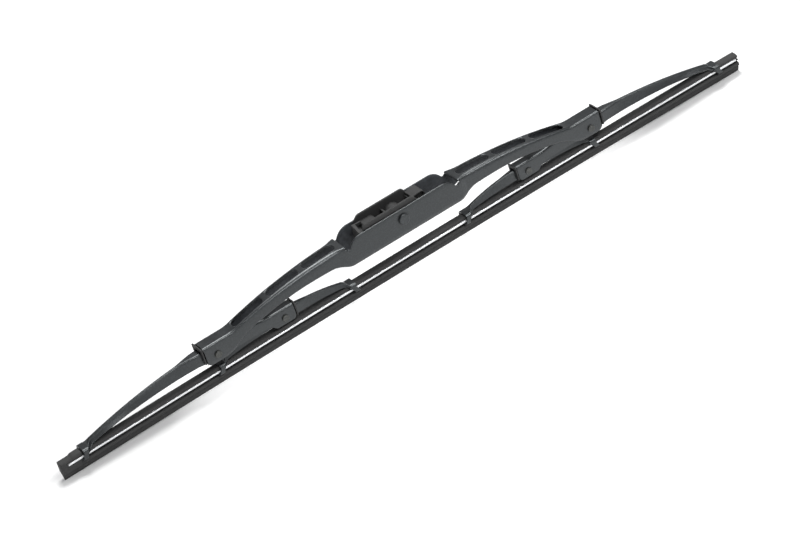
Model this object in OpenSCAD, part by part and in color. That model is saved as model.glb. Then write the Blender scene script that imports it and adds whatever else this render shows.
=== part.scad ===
// Wiper blade with a hook adapter: a sprung bridge, two outer yokes and two inner yokes
// carry a rubber strip by six claws, and two steel rails keep the strip straight.
// +X runs along the blade, +Z points away from the glass, and the origin is the pin
// that the blade swings on, at the middle of the arm's hook.

/* [Blade] */
// Length of the rubber strip
blade_l = 457; // [445:1:470]
// Drop of the strip's ends below its middle
bow = 1.8; // [0.5:0.1:3]
// Depth of the strip's top below the pin
strip_drop = 23.2; // [22.6:0.1:25]

/* [Rubber] */
// Width of the head
head_w = 5.6; // [5:0.1:6]
// Height of the head above the rails
head_h = 1.9; // [1.5:0.1:2.3]
// Width of the rubber between the rails
neck_w = 2.4; // [1.6:0.1:3]
// Thickness of the flange under the rails
flange_t = 0.6; // [0.4:0.1:0.8]
// Height of the groove that the claws reach into
groove_h = 1.4; // [1.3:0.1:2]
// Width of the rubber in that groove
groove_w = 2.8; // [2:0.1:3.2]
// Width of the body under the groove
body_w = 5.8; // [5:0.1:6.4]
// Height of the body
body_h = 2.2; // [1.8:0.1:2.8]
// Thickness of the web that lets the lip tip over
hinge_t = 0.9; // [0.7:0.1:1.4]
// Height of that web
hinge_h = 0.8; // [0.5:0.1:1.2]
// Width at the top of the lip
lip_w = 3.6; // [2.6:0.1:4.6]
// Height of the lip
lip_h = 3.4; // [2.6:0.1:4.2]
// Width of the wiping edge
edge_w = 0.8; // [0.5:0.1:1.2]
// Length of the stop lump on the head at one end
stop_l = 6.6; // [4:0.1:8]
// Height of the stop lump over the head
stop_h = 0.6; // [0.3:0.1:1]

/* [Rails] */
// Width of each rail
rail_w = 2.2; // [1.8:0.1:2.4]
// Thickness of each rail
rail_t = 0.9; // [0.7:0.1:1.1]
// Distance from the rubber's end to the rail's end
rail_inset = 1.8; // [1:0.1:4]

/* [Bridge] */
// Distance from the pin to each bridge rivet
bridge_rivet_x = 125.5; // [123:0.5:128]
// Depth of the bridge rivets below the pin
bridge_rivet_drop = 14.8; // [14.4:0.1:15.2]
// Thickness of the bridge's sheet
bridge_t = 1.1; // [0.9:0.1:1.3]
// Outer radius of the bridge's bends
bend_r = 1.6; // [1.4:0.1:2]
// Width over the cheeks at the adapter
cheek_w = 15.5; // [15.2:0.1:16.4]
// Width of the arms where they leave the cheeks
arm_w = 13.8; // [13:0.1:14.6]
// Width of the bridge's ends
end_w = 10; // [9.8:0.1:10.6]
// Length of the opening between the arms' webs
opening_l = 74.6; // [70:0.2:78]
// Height of the cheeks above the pin
cheek_up = 6.2; // [5.6:0.1:6.8]
// Depth of the cheeks below the pin
cheek_down = 9.7; // [9:0.1:10.4]
// Radius of the cheeks' shoulders
shoulder_r = 9.2; // [7:0.1:10]
// Height of the web beside the opening
arch_up = 3.3; // [2.6:0.1:4]
// Depth of the ends' web below the pin
end_web_drop = 7.4; // [7.2:0.1:7.8]
// Length of the flat web at each end
end_flat_l = 19; // [16:0.5:22]
// Length of the end past the rivet
end_past = 7.5; // [7:0.1:8.5]
// Depth of the arm at its slimmest
arm_h = 7; // [6.4:0.1:7.6]
// Depth of the arm beside the opening
arm_root_h = 8.9; // [8:0.1:9.6]
// Depth of the bridge's ends
end_h = 12; // [11.6:0.1:12.4]
// Radius of the ends' lower corners
end_corner_r = 3.4; // [2:0.1:4]

/* [Web slots] */
// Distance from the opening to the first slot
slot_start = 4; // [3:0.1:5]
// Length of each slot
slot_l = 20.8; // [16:0.1:21.4]
// Web left between two slots, mm
slot_gap = 3.6; // [3.2:0.1:4]
// Width of the slots
slot_w = 6.2; // [4:0.1:6.6]
// Corner radius of the slots
slot_r = 2.4; // [1:0.1:2.8]
// Number of slots in each arm
slot_n = 3; // [1:1:3]

/* [Rivets] */
// Diameter of the centre pin
pin_d = 4; // [3.6:0.1:4.4]
// Diameter of the centre pin's heads
pin_head_d = 6.6; // [6:0.1:7.4]
// Height of the centre pin's heads
pin_head_h = 1.5; // [1:0.1:2]
// Diameter of the bridge rivets
rivet_d = 3; // [2.6:0.1:3.2]
// Diameter of their heads
rivet_head_d = 4.2; // [3.8:0.1:4.8]
// Height of their heads
rivet_head_h = 1; // [0.7:0.1:1.3]
// Diameter of the inner rivets
inner_rivet_d = 2.4; // [2:0.1:2.6]
// Diameter of their heads
inner_head_d = 3.6; // [3.2:0.1:4]
// Height of their heads
inner_head_h = 0.8; // [0.6:0.1:1.1]
// Radial running gap of the pins
pin_gap = 0.05; // [0.03:0.01:0.08]

/* [Liners] */
// Wall of the liners in the bridge's ends
liner_t = 0.35; // [0.3:0.05:0.4]
// Wall of the liners in the outer yokes
inner_liner_t = 0.3; // [0.25:0.05:0.35]
// Thickness of the liners' flanges
flange_plate_t = 1.2; // [0.8:0.1:1.4]
// Height that the flanges stand over the sheet
flange_proud = 0.5; // [0.2:0.1:0.9]
// Sliding gap on each side of a liner's wall
side_gap = 0.05; // [0.03:0.01:0.06]
// Cut of the liners' corners, clear of the sheet's bends
liner_corner = 0.6; // [0.5:0.1:0.8]

/* [Outer yokes] */
// Thickness of the yokes' sheet
yoke_t = 1; // [0.8:0.1:1.1]
// Distance from the pin to each tip claw
tip_claw_x = 213; // [211:0.5:215]
// Distance from the pin to each inner rivet
inner_rivet_x = 82; // [81:0.5:83]
// Depth of the inner rivets below the pin
inner_rivet_drop = 18.5; // [18.3:0.1:18.7]
// Depth of the outer arm's ridge below the pin where it leaves the bridge
ridge_drop = 10; // [9.9:0.1:10.6]
// Depth of the outer arm there
outer_arm_h = 6.9; // [6.4:0.1:7.2]
// Height of an outer yoke where it meets its claw, mm
outer_arm_end_h = 1.9; // [1.6:0.1:2.4]
// Depth of the yoke's web below the pin at its channel end
channel_drop = 12.6; // [12.4:0.1:13]
// Depth of the channel end's cheeks
channel_h = 9.3; // [9.1:0.1:9.5]
// Length of the channel end's cheeks
channel_l = 13; // [12:0.5:15]
// Width of the ridge in the middle of the outer arm
ridge_w = 2.6; // [2.5:0.1:3.4]

/* [Inner yokes] */
// Thickness of the inner yokes' sheet
inner_yoke_t = 0.8; // [0.7:0.1:0.9]
// Distance from the inner rivet to each inner claw
claw_reach = 43.1; // [42:0.1:44]
// Depth of the inner yoke's web below the pin at its rivet
inner_web_drop = 14.8; // [14.7:0.1:15.2]
// Depth of the inner yoke at its rivet
inner_yoke_h = 6; // [5.6:0.1:6.2]
// Height of an inner yoke where it meets its claws, mm
inner_arm_end_h = 2.4; // [2:0.1:2.8]

/* [Claws] */
// Length of a claw along the blade
claw_l = 3.4; // [2.6:0.1:4]
// Length over which an arm spreads to the width of its claw, mm
claw_flare = 5; // [4:0.5:8]
// Height of an arm's ridge over the strap of its claw, mm
ridge_end = 1.8; // [1.2:0.1:2.2]
// Distance that a claw's fingers lean away from its yoke
finger_lean = 1.8; // [0.5:0.1:2.4]
// Gap between a claw and the strip
claw_gap = 0.25; // [0.2:0.05:0.3]
// Radius of a claw's upper corners
claw_r = 1.8; // [1.4:0.1:2.2]

/* [Adapter] */
// Width of the hook that the adapter takes
hook_w = 9; // [8.6:0.1:9.4]
// Thickness of the hook
hook_t = 4; // [3:0.1:4.2]
// Gap between the hook and the adapter's walls
hook_gap = 0.25; // [0.15:0.05:0.4]
// Radius of the barrel that the hook wraps
barrel_r = 5.2; // [4.8:0.1:5.4]
// Gap between the adapter and the cheeks
adapter_gap = 0.2; // [0.1:0.05:0.3]
// Reach of the side walls to the left of the pin
wall_left = 26.5; // [24:0.5:28]
// Reach of the side walls to the right of the pin
wall_right = 13; // [12.5:0.5:14]
// Depth of the side walls below the pin
wall_down = 8.6; // [8:0.1:9]
// Thickness of the post at the left end
post_l = 3.4; // [3:0.1:4.4]
// Height of that post above the pin
post_up = 7.6; // [6.6:0.1:8.2]
// Reach of the release tongue past the side walls
tongue_l = 5.8; // [4:0.1:7]
// Width of the release tongue
tongue_w = 6.4; // [5:0.1:8]

/* [Hidden] */
$fn = 32;

black = [0.10, 0.10, 0.11];
charcoal = [0.27, 0.28, 0.29];
rivet_grey = [0.33, 0.33, 0.31];
rubber_grey = [0.16, 0.16, 0.17];
rail_silver = [0.90, 0.91, 0.92];

// Levels of the strip, measured down from its top
slot_pitch = slot_l + slot_gap;
slot_h = rail_t + 0.2;
flange_top = head_h + slot_h;
groove_top = flange_top + flange_t;
body_top = groove_top + groove_h;
hinge_top = body_top + body_h;
lip_top = hinge_top + hinge_h;
strip_h = lip_top + lip_h;
rail_out = neck_w/2 + 0.1 + rail_w;
// Slope of the strip's ledges, as a moulded strip has
ease = 0.05;

// Bridge sizes that follow from the ones above
cut_x = opening_l/2;
bridge_end_x = bridge_rivet_x + end_past;
flat_x = bridge_end_x - end_flat_l;
arch_x = cut_x + 0.7;
arch_r = pow(flat_x - arch_x, 2)/(2*(arch_up + end_web_drop));
end_in_w = end_w - 2*bridge_t;

// Yoke sizes that follow from the fits in the liners
yoke_w = end_in_w - 2*liner_t - 4*side_gap;
yoke_in_w = yoke_w - 2*yoke_t;
inner_yoke_w = yoke_in_w - 2*inner_liner_t - 4*side_gap;
channel_x = inner_rivet_x - 6.5;

// Claw sizes that follow from the strip
claw_in_w = 2*(rail_out + claw_gap);
finger_top = groove_top + 0.15;
finger_t = groove_h - 0.55;

// Adapter sizes that follow from the cheeks and the hook
adapter_w = cheek_w - 2*bridge_t - 2*adapter_gap;
hook_slot_w = hook_w + 2*hook_gap;
wall_up = barrel_r + hook_t + 0.1;
nose_x = barrel_r + hook_t + 0.6;

// Smooth step from 0 at a to 1 at b
function step(a, b, x) = let(s = min(max((x - a)/(b - a), 0), 1)) s*s*(3 - 2*s);
// Straight ramp from 0 at a to 1 at b
function ramp(a, b, x) = min(max((x - a)/(b - a), 0), 1);
// Value between p and q at the share s
function mix(p, q, s) = p + (q - p)*s;
// Larger of two values, with a rounded change over the width k
function smooth_max(p, q, k) = max(p, q) + pow(max(0, k - abs(p - q)), 2)/(4*k);

// Top of the strip at x
function strip_top(x) = -strip_drop - bow*pow(2*x/blade_l, 2);

// Height of the bridge's web at x
function web_z(x) =
  smooth_max(arch_up - pow(max(0, abs(x) - arch_x), 2)/(2*arch_r), -end_web_drop, 0.8);

// Width over the bridge's cheeks at x
function bridge_w(x) =
  let(a = abs(x))
  mix(
    mix(cheek_w, arm_w, step(cut_x, cut_x + 6, a)),
    end_w,
    ramp(cut_x + 12, flat_x + 4, a)
  );

// Upper edge of the bridge at x: the web, or the cheeks' shoulders beside the opening
function bridge_top(x) =
  let(
    a = abs(x),
    s = cut_x - 1.1 - shoulder_r,
    drop = a <= s ? 0 : shoulder_r - sqrt(max(0, pow(shoulder_r, 2) - pow(a - s, 2)))
  )
  a >= cut_x ? web_z(x) : max(cheek_up - drop, arch_up - 2.4);

// Lower edge of the bridge at x
function bridge_bottom(x) =
  let(
    a = abs(x),
    root = mix(arm_root_h, arm_h, step(cut_x, cut_x + 44, a)),
    depth = mix(root, end_h, step(flat_x - 10, flat_x + 8, a)),
    arm = web_z(x) - depth,
    c = bridge_end_x - end_corner_r,
    lift = a <= c ? 0 : end_corner_r - sqrt(max(0, pow(end_corner_r, 2) - pow(a - c, 2)))
  )
  mix(-cheek_down, arm, step(cut_x - 2, cut_x + 11, a)) + lift*0.98;

// Half ring of a folded channel: its lower edge or finger, its cheek and its bend
function half_ring(low, top, w_low, w_top, r, tip) =
  concat(
    [[-tip, low], [-w_low/2, low]],
    [for (a = [0, 45, 90]) [-w_top/2 + r*(1 - cos(a)), top - r*(1 - sin(a))]]
  );

// Ring of a folded channel at x: the outer skin across the blade, then the inner skin back.
// The reach is how far the lower edges turn in, and lean moves them along the blade.
function channel_ring(x, top, low, w_top, w_low, t, r, reach, edge, lean) =
  let(
    ro = min(r, w_top/2 - 0.02),
    ri = min(max(ro - t, 0.2), w_top/2 - t - 0.02),
    tip = w_low/2 - t - reach,
    outer = half_ring(low, top, w_low, w_top, ro, tip),
    inner = half_ring(low + edge, top - t, w_low - 2*t, w_top - 2*t, ri, tip),
    n = len(outer) - 1,
    ring = concat(
      outer,
      [for (i = [n:-1:0]) [-outer[i][0], outer[i][1]]],
      [for (p = inner) [-p[0], p[1]]],
      [for (i = [n:-1:0]) inner[i]]
    )
  )
  [for (p = ring) [x + lean*ramp(top - t, low, p[1]), p[0], p[1]]];

// Solid through rings whose point i from the start lies across from point i from the end
module loft(rings) {
  n = len(rings[0]);
  last = (len(rings) - 1)*n;
  polyhedron(
    points = [for (ring = rings) each ring],
    faces = concat(
      [for (i = [0:n/2 - 2]) [i, i + 1, n - 1 - i]],
      [for (i = [0:n/2 - 2]) [i + 1, n - 2 - i, n - 1 - i]],
      [for (s = [0:n:last - n], i = [0:n - 1]) [s + i, s + i + n, s + (i + 1)%n]],
      [for (s = [0:n:last - n], i = [0:n - 1]) [s + (i + 1)%n, s + i + n, s + (i + 1)%n + n]],
      [for (i = [0:n/2 - 2]) [last + n - 1 - i, last + n - 2 - i, last + i + 1]],
      [for (i = [0:n/2 - 2]) [last + n - 1 - i, last + i + 1, last + i]]
    ),
    convexity = 8
  );
}

// Round pin across the blade, w long, with a flat-domed head at each end
module rivet(d, w, head_d, head_h) {
  edge = head_h*0.45;
  rotate([90, 0, 0]) cylinder(d = d, h = w, center = true);
  for (side = [0, 1]) mirror([0, side, 0]) translate([0, w/2, 0]) rotate([-90, 0, 0]) {
    cylinder(d = head_d, h = head_h - edge);
    translate([0, 0, head_h - edge]) cylinder(d1 = head_d, d2 = head_d - 2*edge, h = edge);
  }
}

// Straight hole across the blade
module cross_hole(x, z, d) {
  translate([x, 0, z]) rotate([90, 0, 0]) cylinder(d = d, h = 60, center = true);
}

// Outline of a slot with rounded corners
module slot_outline(l, w, r) {
  c = min(r, w/2 - 0.05);
  square([l, w - 2*c], center = true);
  square([l - 2*c, w], center = true);
  for (i = [-1, 1], j = [-1, 1]) translate([i*(l/2 - c), j*(w/2 - c)]) circle(r = c);
}

// Places along the right half of the bridge where its section changes
function bridge_stations() =
  let(shoulder = cut_x - 1.1 - shoulder_r)
  concat(
    [for (a = [0:15:90]) shoulder + shoulder_r*sin(a)],
    [for (i = [0:5]) mix(cut_x, cut_x + 11, i/5)],
    [for (i = [1:9]) mix(cut_x + 11, flat_x - 6, i/9)],
    [flat_x - 3, flat_x - 1, flat_x + 1, flat_x + 3.5, flat_x + 6, flat_x + 8],
    [for (a = [0:30:90]) bridge_end_x - end_corner_r*(1 - sin(a))]
  );

// Pressed channel with an open middle for the adapter
module bridge() {
  half = bridge_stations();
  stations = concat([for (i = [len(half) - 1:-1:0]) -half[i]], half);
  color(charcoal) difference() {
    loft([for (x = stations)
      channel_ring(
        x, bridge_top(x), bridge_bottom(x), bridge_w(x), bridge_w(x), bridge_t,
        abs(x) < cut_x ? 0.3 : bend_r, 0.02, 0.3, 0
      )]);
    // Opening between the cheeks, which keep a trimmed bend along their tops
    cube([2*cut_x - 0.2, cheek_w - 2*bridge_t - 0.3, 40], center = true);
    for (side = [-1, 1], i = [0:slot_n - 1])
      translate([side*(cut_x + slot_start + slot_l/2 + slot_pitch*i), 0, -cheek_down])
        linear_extrude(cheek_down + cheek_up) slot_outline(slot_l, slot_w, slot_r);
    cross_hole(0, 0, pin_d);
    for (side = [-1, 1]) cross_hole(side*bridge_rivet_x, -bridge_rivet_drop, rivet_d);
  }
}

module center_rivet() {
  color(rivet_grey) rivet(pin_d, cheek_w, pin_head_d, pin_head_h);
}

module bridge_rivet(side) {
  color(rivet_grey) translate([side*bridge_rivet_x, 0, -bridge_rivet_drop])
    rivet(rivet_d, end_w, rivet_head_d, rivet_head_h);
}

module inner_rivet(side) {
  color(rivet_grey) translate([side*inner_rivet_x, 0, -inner_rivet_drop])
    rivet(inner_rivet_d, yoke_w, inner_head_d, inner_head_h);
}

// Folded profile across the blade, open below, with its corners cut by c
module folded_section(w, top, w_in, top_in, low, c) {
  k = c + 0.414*(w - w_in)/2;
  polygon([
    [-w/2, low],
    [-w/2, top - c],
    [-w/2 + c, top],
    [w/2 - c, top],
    [w/2, top - c],
    [w/2, low],
    [w_in/2, low],
    [w_in/2, top - k],
    [w/2 - k, top_in],
    [k - w/2, top_in],
    [-w_in/2, top - k],
    [-w_in/2, low]
  ]);
}

// Liner of a channel from x0 to x1, with a flange that closes on the channel's end at x_end
module liner_shell(x0, x1, x_end, w, top, low, t, w_flange, flange_top) {
  translate([x0, 0, 0]) rotate([90, 0, 90]) linear_extrude(x1 - x0)
    folded_section(w, top, w - 2*t, top - t, low, liner_corner);
  translate([x_end, 0, 0]) rotate([90, 0, 90]) linear_extrude(flange_plate_t) difference() {
    polygon([
      [-w_flange/2, low],
      [-w_flange/2, flange_top - 1],
      [1 - w_flange/2, flange_top],
      [w_flange/2 - 1, flange_top],
      [w_flange/2, flange_top - 1],
      [w_flange/2, low]
    ]);
    polygon([
      [t - w/2, low - 2],
      [t - w/2, top - t - liner_corner],
      [t + liner_corner - w/2, top - t],
      [w/2 - t - liner_corner, top - t],
      [w/2 - t, top - t - liner_corner],
      [w/2 - t, low - 2]
    ]);
  }
}

module liner(side) {
  top = -end_web_drop - bridge_t - side_gap;
  low = -end_web_drop - end_h + end_corner_r - 0.6;
  x_end = bridge_end_x + 0.05;
  color(black) mirror([side < 0 ? 1 : 0, 0, 0]) difference() {
    liner_shell(
      bridge_rivet_x - 9, x_end + flange_plate_t, x_end, end_in_w - 2*side_gap, top, low,
      liner_t, end_w + 2*flange_proud, -end_web_drop + flange_proud
    );
    cross_hole(bridge_rivet_x, -bridge_rivet_drop, rivet_d + 2*pin_gap);
  }
}

module inner_liner(side) {
  top = -channel_drop - yoke_t - side_gap;
  low = -channel_drop - channel_h + 1.2;
  x_end = channel_x - 0.05 - flange_plate_t;
  color(black) mirror([side < 0 ? 1 : 0, 0, 0]) difference() {
    liner_shell(
      x_end, inner_rivet_x + 4, x_end, yoke_in_w - 2*side_gap, top, low,
      inner_liner_t, yoke_w + 2*flange_proud, -channel_drop + flange_proud
    );
    cross_hole(inner_rivet_x, -inner_rivet_drop, inner_rivet_d + 2*pin_gap);
  }
}

// Lowest level that an arm may reach over the strip at x
function over_strip(x) = strip_top(x) + claw_gap + 0.05;

// Width over a claw that is pressed from sheet of thickness t
function claw_w(t) = claw_in_w + 2*t;

// Share of an arm's spread towards its claw at the distance u from the yoke's middle
function claw_spread(u, reach) =
  let(end = reach - claw_l/2 - 0.3)
  pow(ramp(end - claw_flare, end, u), 2);

// Top of an arm: a straight part and a square part of the fall, then the drop to the claw's strap
function arm_top(start_z, strap_z, start, reach, straight, u) =
  let(r = ramp(start, reach - claw_l/2 - 0.3, u))
  mix(
    mix(start_z, strap_z + ridge_end, straight*r + (1 - straight)*r*r),
    strap_z,
    claw_spread(u, reach)
  );

// Rings of a claw around x, from its arm outwards, where dir is the way to go
function claw_rings(x, dir, t, r) =
  let(
    top = strip_top(x) + claw_gap + t,
    low = strip_top(x) - finger_top - finger_t,
    reach = claw_in_w/2 - groove_w/2 - 0.35,
    near = claw_l/2
  )
  [
    for (s = [
      [-near - 0.3, over_strip(x), 0.02, 0],
      [-near, low, 0.02, finger_lean],
      [-near + 0.4, low, reach, finger_lean],
      [near, low, reach, finger_lean]
    ])
      channel_ring(
        x + dir*s[0], top, s[1], claw_w(t), claw_w(t), t, r, s[2],
        s[1] == low ? finger_t : 0.3, dir*s[3]
      )
  ];

// Outer yoke: a channel end towards the middle, and an arm that closes to a ridge
function outer_top(x) =
  let(
    start = bridge_rivet_x + 14,
    strap = strip_top(tip_claw_x) + claw_gap + yoke_t
  )
  x < start
    ? mix(-channel_drop, -ridge_drop, step(channel_x + 15, channel_x + 36, x))
    : arm_top(-ridge_drop, strap, start, tip_claw_x, 0.34, x);
function outer_bottom(x) =
  let(
    rivet_low = -bridge_rivet_drop - 3.6,
    past = channel_x + channel_l,
    channel = mix(-channel_drop - channel_h, rivet_low, step(past - 1, past + 4, x)),
    arm = outer_top(x) - mix(outer_arm_h, outer_arm_end_h, ramp(bridge_rivet_x + 14, tip_claw_x - 2, x)),
    blend = step(bridge_rivet_x + 3, bridge_rivet_x + 13, x)
  )
  max(mix(channel, arm, blend), over_strip(x));
function outer_w(x) =
  mix(
    mix(yoke_w, ridge_w, step(bridge_rivet_x + 9, bridge_rivet_x + 27, x)),
    claw_w(yoke_t) - 1.2,
    claw_spread(x, tip_claw_x)
  );
function outer_foot_w(x) =
  mix(
    mix(yoke_w, yoke_w - 0.7, step(bridge_rivet_x + 9, bridge_rivet_x + 27, x)),
    claw_w(yoke_t) - 0.4,
    claw_spread(x, tip_claw_x)
  );

module outer_yoke(side) {
  corner = 2.2;
  past = channel_x + channel_l;
  stations = concat(
    [for (i = [0:2]) channel_x + corner*(1 - cos(45*i))],
    [past - 1, past + 0.5, past + 2, past + 4],
    [for (i = [0:3]) mix(channel_x + 19, channel_x + 36, i/3)],
    [for (i = [0:3]) mix(bridge_rivet_x + 3, bridge_rivet_x + 13, i/3)],
    [for (i = [1:4]) mix(bridge_rivet_x + 13, bridge_rivet_x + 27, i/4)],
    [for (i = [1:9]) mix(bridge_rivet_x + 27, tip_claw_x - claw_l/2 - 0.3 - claw_flare, i/9)],
    [for (i = [0.3, 0.55, 0.75, 0.9]) tip_claw_x - claw_l/2 - 0.3 - claw_flare*(1 - i)]
  );
  arm = [for (x = stations)
    let(
      c = max(0, channel_x + corner - x),
      lift = corner - sqrt(max(0, corner*corner - c*c))
    )
    channel_ring(
      x, outer_top(x), outer_bottom(x) + lift, outer_w(x), outer_foot_w(x), yoke_t, 1.5,
      0.02, 0.3, 0
    )];
  color(charcoal) mirror([side < 0 ? 1 : 0, 0, 0]) difference() {
    loft(concat(arm, claw_rings(tip_claw_x, 1, yoke_t, claw_r)));
    cross_hole(bridge_rivet_x, -bridge_rivet_drop, rivet_d + 2*pin_gap);
    cross_hole(inner_rivet_x, -inner_rivet_drop, inner_rivet_d);
  }
}

// Inner yoke: the same on both sides of its rivet, with a claw at each end
function inner_top(u) =
  let(strap = strip_top(inner_rivet_x + (u > 0 ? claw_reach : -claw_reach)) + claw_gap + inner_yoke_t)
  arm_top(-inner_web_drop, strap, 6, claw_reach, 0.13, abs(u));
function inner_bottom(u) =
  max(
    inner_top(u) - mix(inner_yoke_h, inner_arm_end_h, pow(ramp(4, claw_reach - 2, abs(u)), 1.5)),
    over_strip(inner_rivet_x + u)
  );
function inner_w(u) =
  mix(
    mix(inner_yoke_w, ridge_w - 0.3, step(7, 18, abs(u))),
    claw_w(inner_yoke_t) - 1.2,
    claw_spread(abs(u), claw_reach)
  );
function inner_foot_w(u) =
  mix(inner_yoke_w, claw_w(inner_yoke_t) - 0.4, claw_spread(abs(u), claw_reach));

module inner_yoke(side) {
  spread = claw_reach - claw_l/2 - 0.3 - claw_flare;
  half = concat(
    [0, 7, 11, 14.5, 18],
    [for (i = [1:6]) mix(18, spread, i/6)],
    [for (i = [0.3, 0.55, 0.75, 0.9]) spread + claw_flare*i]
  );
  stations = concat([for (i = [len(half) - 1:-1:1]) -half[i]], half);
  near = claw_rings(inner_rivet_x - claw_reach, -1, inner_yoke_t, claw_r);
  arm = [for (u = stations)
    channel_ring(
      inner_rivet_x + u, inner_top(u), inner_bottom(u), inner_w(u), inner_foot_w(u),
      inner_yoke_t, 1.1, 0.02, 0.3, 0
    )];
  color(charcoal) mirror([side < 0 ? 1 : 0, 0, 0]) difference() {
    loft(concat(
      [for (i = [3:-1:0]) near[i]],
      arm,
      claw_rings(inner_rivet_x + claw_reach, 1, inner_yoke_t, claw_r)
    ));
    cross_hole(inner_rivet_x, -inner_rivet_drop, inner_rivet_d + 2*pin_gap);
  }
}

// Half section of the strip, from the wiping edge up to the top of the head
function strip_half() = [
  [edge_w/2, -strip_h],
  [edge_w/2, -strip_h + 0.7],
  [lip_w/2, -lip_top - 0.5],
  [lip_w/2, -lip_top - ease],
  [hinge_t/2, -lip_top],
  [hinge_t/2, -hinge_top],
  [body_w/2 - 0.5, -hinge_top + ease],
  [body_w/2, -body_top - 0.6],
  [body_w/2, -body_top - ease],
  [groove_w/2, -body_top],
  [groove_w/2, -groove_top],
  [body_w/2 - 0.1, -groove_top + ease],
  [body_w/2 - 0.1, -flange_top - ease],
  [neck_w/2, -flange_top],
  [neck_w/2, -head_h],
  [head_w/2, -head_h + ease],
  [head_w/2, -0.4],
  [head_w/2 - 0.4, 0]
];

// Share of the stop lump's height at x
function stop_share(x) =
  let(s = x + tip_claw_x + claw_l/2 + 0.4 + stop_l)
  min(ramp(-0.2, 1.8, s), ramp(stop_l + 0.1, stop_l - 0.5, s));

module wiper_rubber() {
  stop_x = -tip_claw_x - claw_l/2 - 0.4 - stop_l;
  stations = concat(
    [-blade_l/2, stop_x - 0.2, stop_x + 1.8, stop_x + stop_l - 0.5, stop_x + stop_l + 0.1],
    [for (i = [-5:6]) blade_l/2*i/6]
  );
  color(rubber_grey) loft([for (x = stations)
    let(
      right = [for (p = strip_half()) p[1] > -head_h ? p + stop_share(x)*[0.3, stop_h*(1 + p[1]/head_h)] : p],
      n = len(right) - 1,
      section = concat(right, [for (i = [n:-1:0]) [-right[i][0], right[i][1]]])
    )
    [for (p = section) [x, -p[0], p[1] + strip_top(x)]]]);
}

// Flat steel rail in one side slot of the strip
module rail(side) {
  n = 12;
  reach = blade_l/2 - rail_inset;
  mid = -head_h - slot_h/2;
  xs = [for (i = [-n:n]) reach*i/n];
  color(rail_silver) translate([0, side*(rail_out - rail_w/2), 0]) rotate([90, 0, 0])
    linear_extrude(rail_w, center = true) polygon(concat(
      [for (x = xs) [x, strip_top(x) + mid + rail_t/2]],
      [for (i = [2*n:-1:0]) [xs[i], strip_top(xs[i]) + mid - rail_t/2]]
    ));
}

// Side view of an adapter wall
module wall_outline() {
  polygon([
    [-wall_left, -3.4],
    [-wall_left, 5.6],
    [-wall_left + 3.4, wall_up - 0.3],
    [-wall_left + 5.2, wall_up],
    [wall_right - 5, wall_up],
    [wall_right - 3.4, wall_up - 0.7],
    [wall_right - 2.6, wall_up - 2],
    [wall_right, 1.6],
    [wall_right, -4.6],
    [wall_right - 3.4, -wall_down],
    [-8, -wall_down],
    [-14, -5.2]
  ]);
}

module adapter() {
  wall_t = (adapter_w - hook_slot_w)/2;
  rest_up = barrel_r - 0.05;
  color(black) difference() {
    union() {
      for (side = [-1, 1]) translate([0, side*(adapter_w - wall_t)/2, 0]) rotate([90, 0, 0])
        linear_extrude(wall_t, center = true) wall_outline();
      rotate([90, 0, 0]) linear_extrude(adapter_w - wall_t, center = true) {
        // Barrel on the pin, and the rest that the hook's straight leg lies on
        circle(r = barrel_r);
        polygon([[-20.5, 1.2], [-20.5, rest_up], [-12.8, rest_up], [-11.4, rest_up - 1.4], [-11.4, 1.2]]);
        polygon([[-wall_left + 1, -3.4], [-wall_left + 1, 2], [0, 2], [0, -2.6], [-14, -2.6]]);
        translate([-6.3, 0]) square([1.1, rest_up - 0.2]);
        // Post with its overhanging top
        polygon([
          [-wall_left - 0.4, -3],
          [-wall_left - 0.4, post_up],
          [-wall_left + post_l + 1.8, post_up],
          [-wall_left + post_l + 1.8, post_up - 1.2],
          [-wall_left + post_l, post_up - 1.6],
          [-wall_left + post_l, -3]
        ]);
        // Wall that closes the channel past the hook's nose
        translate([nose_x, -4.4]) square([wall_right - nose_x - 0.4, 9]);
      }
      // Release tongue
      rotate([90, 0, 0]) linear_extrude(tongue_w, center = true) polygon([
        [nose_x, 1.8],
        [wall_right - 1, 1.8],
        [wall_right + tongue_l - 1.2, 4],
        [wall_right + tongue_l, 4.8],
        [wall_right + tongue_l - 0.6, 5.8],
        [wall_right + tongue_l - 2, 6.2],
        [nose_x, 6.2]
      ]);
    }
    cross_hole(0, 0, pin_d + 2*pin_gap);
  }
}

adapter();
bridge();
center_rivet();
bridge_rivet(-1);  // bridge_rivet_left
bridge_rivet(1);  // bridge_rivet_right
liner(-1);  // liner_left
liner(1);  // liner_right
outer_yoke(-1);  // outer_yoke_left
outer_yoke(1);  // outer_yoke_right
inner_rivet(-1);  // inner_rivet_left
inner_rivet(1);  // inner_rivet_right
inner_liner(-1);  // inner_liner_left
inner_liner(1);  // inner_liner_right
inner_yoke(-1);  // inner_yoke_left
inner_yoke(1);  // inner_yoke_right
wiper_rubber();
rail(-1);  // rail_front
rail(1);  // rail_rear
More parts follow.
